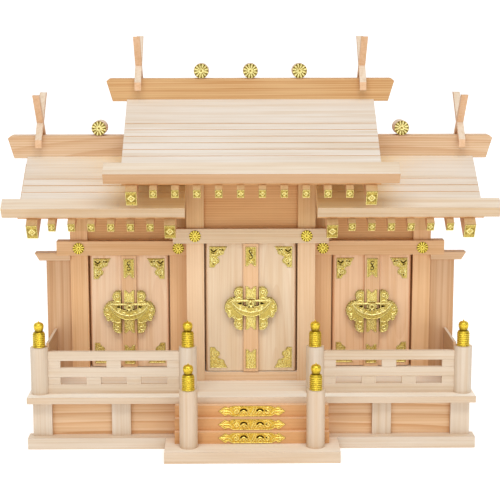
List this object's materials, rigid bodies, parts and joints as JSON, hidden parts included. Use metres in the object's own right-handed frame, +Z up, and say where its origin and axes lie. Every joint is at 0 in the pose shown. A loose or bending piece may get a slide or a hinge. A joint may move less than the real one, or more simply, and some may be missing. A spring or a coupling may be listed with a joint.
{
  "type": "kamidana household shrine",
  "caption": "Household shrine in plain timber: stepped gable roofs over bays with hinged double doors, on a railed veranda with front steps and gilt fittings.",
  "frame": {"origin": "on the ground under the middle of the bounding box", "axes": "+X to the viewer's right, -Y out of the doors towards the viewer, +Z up"},
  "size_m": [0.566, 0.254, 0.4623],
  "materials": {
    "timber": "planed, unfinished",
    "gilt": "pressed and gilded"
  },
  "bodies": {
    "shrine": {"base_frame": "timber", "base_posts": "timber", "base_panels": "timber", "veranda_floor": "timber", "stair_base": "timber", "stair_step_lower": "timber", "stair_step_middle": "timber", "stair_step_upper": "timber", "stair_plates": "gilt", "front_railing_left": "timber", "front_railing_right": "timber", "side_railing_left": "timber", "side_railing_right": "timber", "railing_posts": "timber", "stair_posts": "timber", "post_finials": "gilt", "body_posts": "timber", "head_beams": "timber", "door_sills": "timber", "upper_panels": "timber", "back_wall": "timber", "side_walls": "timber", "side_screens": "timber", "side_screen_caps": "timber", "beam_rosettes": "gilt", "front_roof_slopes": "timber", "back_roof_slopes": "timber", "eave_boards": "timber", "roof_soffits": "timber", "rafters": "timber", "bargeboards": "timber", "rafter_caps": "gilt", "ridge_beams": "timber", "ridge_logs": "timber", "ridge_log_caps": "gilt", "chigi": "timber"},
    "center_left_leaf": {"center_door_left": "timber", "center_door_strip": "timber", "center_door_left_fittings": "gilt"},
    "center_right_leaf": {"center_door_right": "timber", "center_door_right_fittings": "gilt"},
    "left_left_leaf": {"left_door_left": "timber", "left_door_strip": "timber", "left_door_left_fittings": "gilt"},
    "left_right_leaf": {"left_door_right": "timber", "left_door_right_fittings": "gilt"},
    "right_left_leaf": {"right_door_left": "timber", "right_door_strip": "timber", "right_door_left_fittings": "gilt"},
    "right_right_leaf": {"right_door_right": "timber", "right_door_right_fittings": "gilt"}
  },
  "joints": [
    {"name": "center_left_leaf_hinge", "type": "hinge", "parent": "shrine", "child": "center_left_leaf", "pos_m": [-0.0489, 0.0055, 0.14], "axis": [0, 0, -1], "range_deg": [0, 90]},
    {"name": "center_right_leaf_hinge", "type": "hinge", "parent": "shrine", "child": "center_right_leaf", "pos_m": [0.0489, 0.0055, 0.14], "axis": [0, 0, 1], "range_deg": [0, 90]},
    {"name": "left_left_leaf_hinge", "type": "hinge", "parent": "shrine", "child": "left_left_leaf", "pos_m": [-0.1867, 0.0295, 0.14], "axis": [0, 0, -1], "range_deg": [0, 90]},
    {"name": "left_right_leaf_hinge", "type": "hinge", "parent": "shrine", "child": "left_right_leaf", "pos_m": [-0.1013, 0.0295, 0.14], "axis": [0, 0, 1], "range_deg": [0, 90]},
    {"name": "right_left_leaf_hinge", "type": "hinge", "parent": "shrine", "child": "right_left_leaf", "pos_m": [0.1013, 0.0295, 0.14], "axis": [0, 0, -1], "range_deg": [0, 90]},
    {"name": "right_right_leaf_hinge", "type": "hinge", "parent": "shrine", "child": "right_right_leaf", "pos_m": [0.1867, 0.0295, 0.14], "axis": [0, 0, 1], "range_deg": [0, 90]}
  ],
  "couplings": [
    {"joint": "center_right_leaf_hinge", "follows": "center_left_leaf_hinge", "ratio": 1},
    {"joint": "left_right_leaf_hinge", "follows": "left_left_leaf_hinge", "ratio": 1},
    {"joint": "right_right_leaf_hinge", "follows": "right_left_leaf_hinge", "ratio": 1}
  ]
}
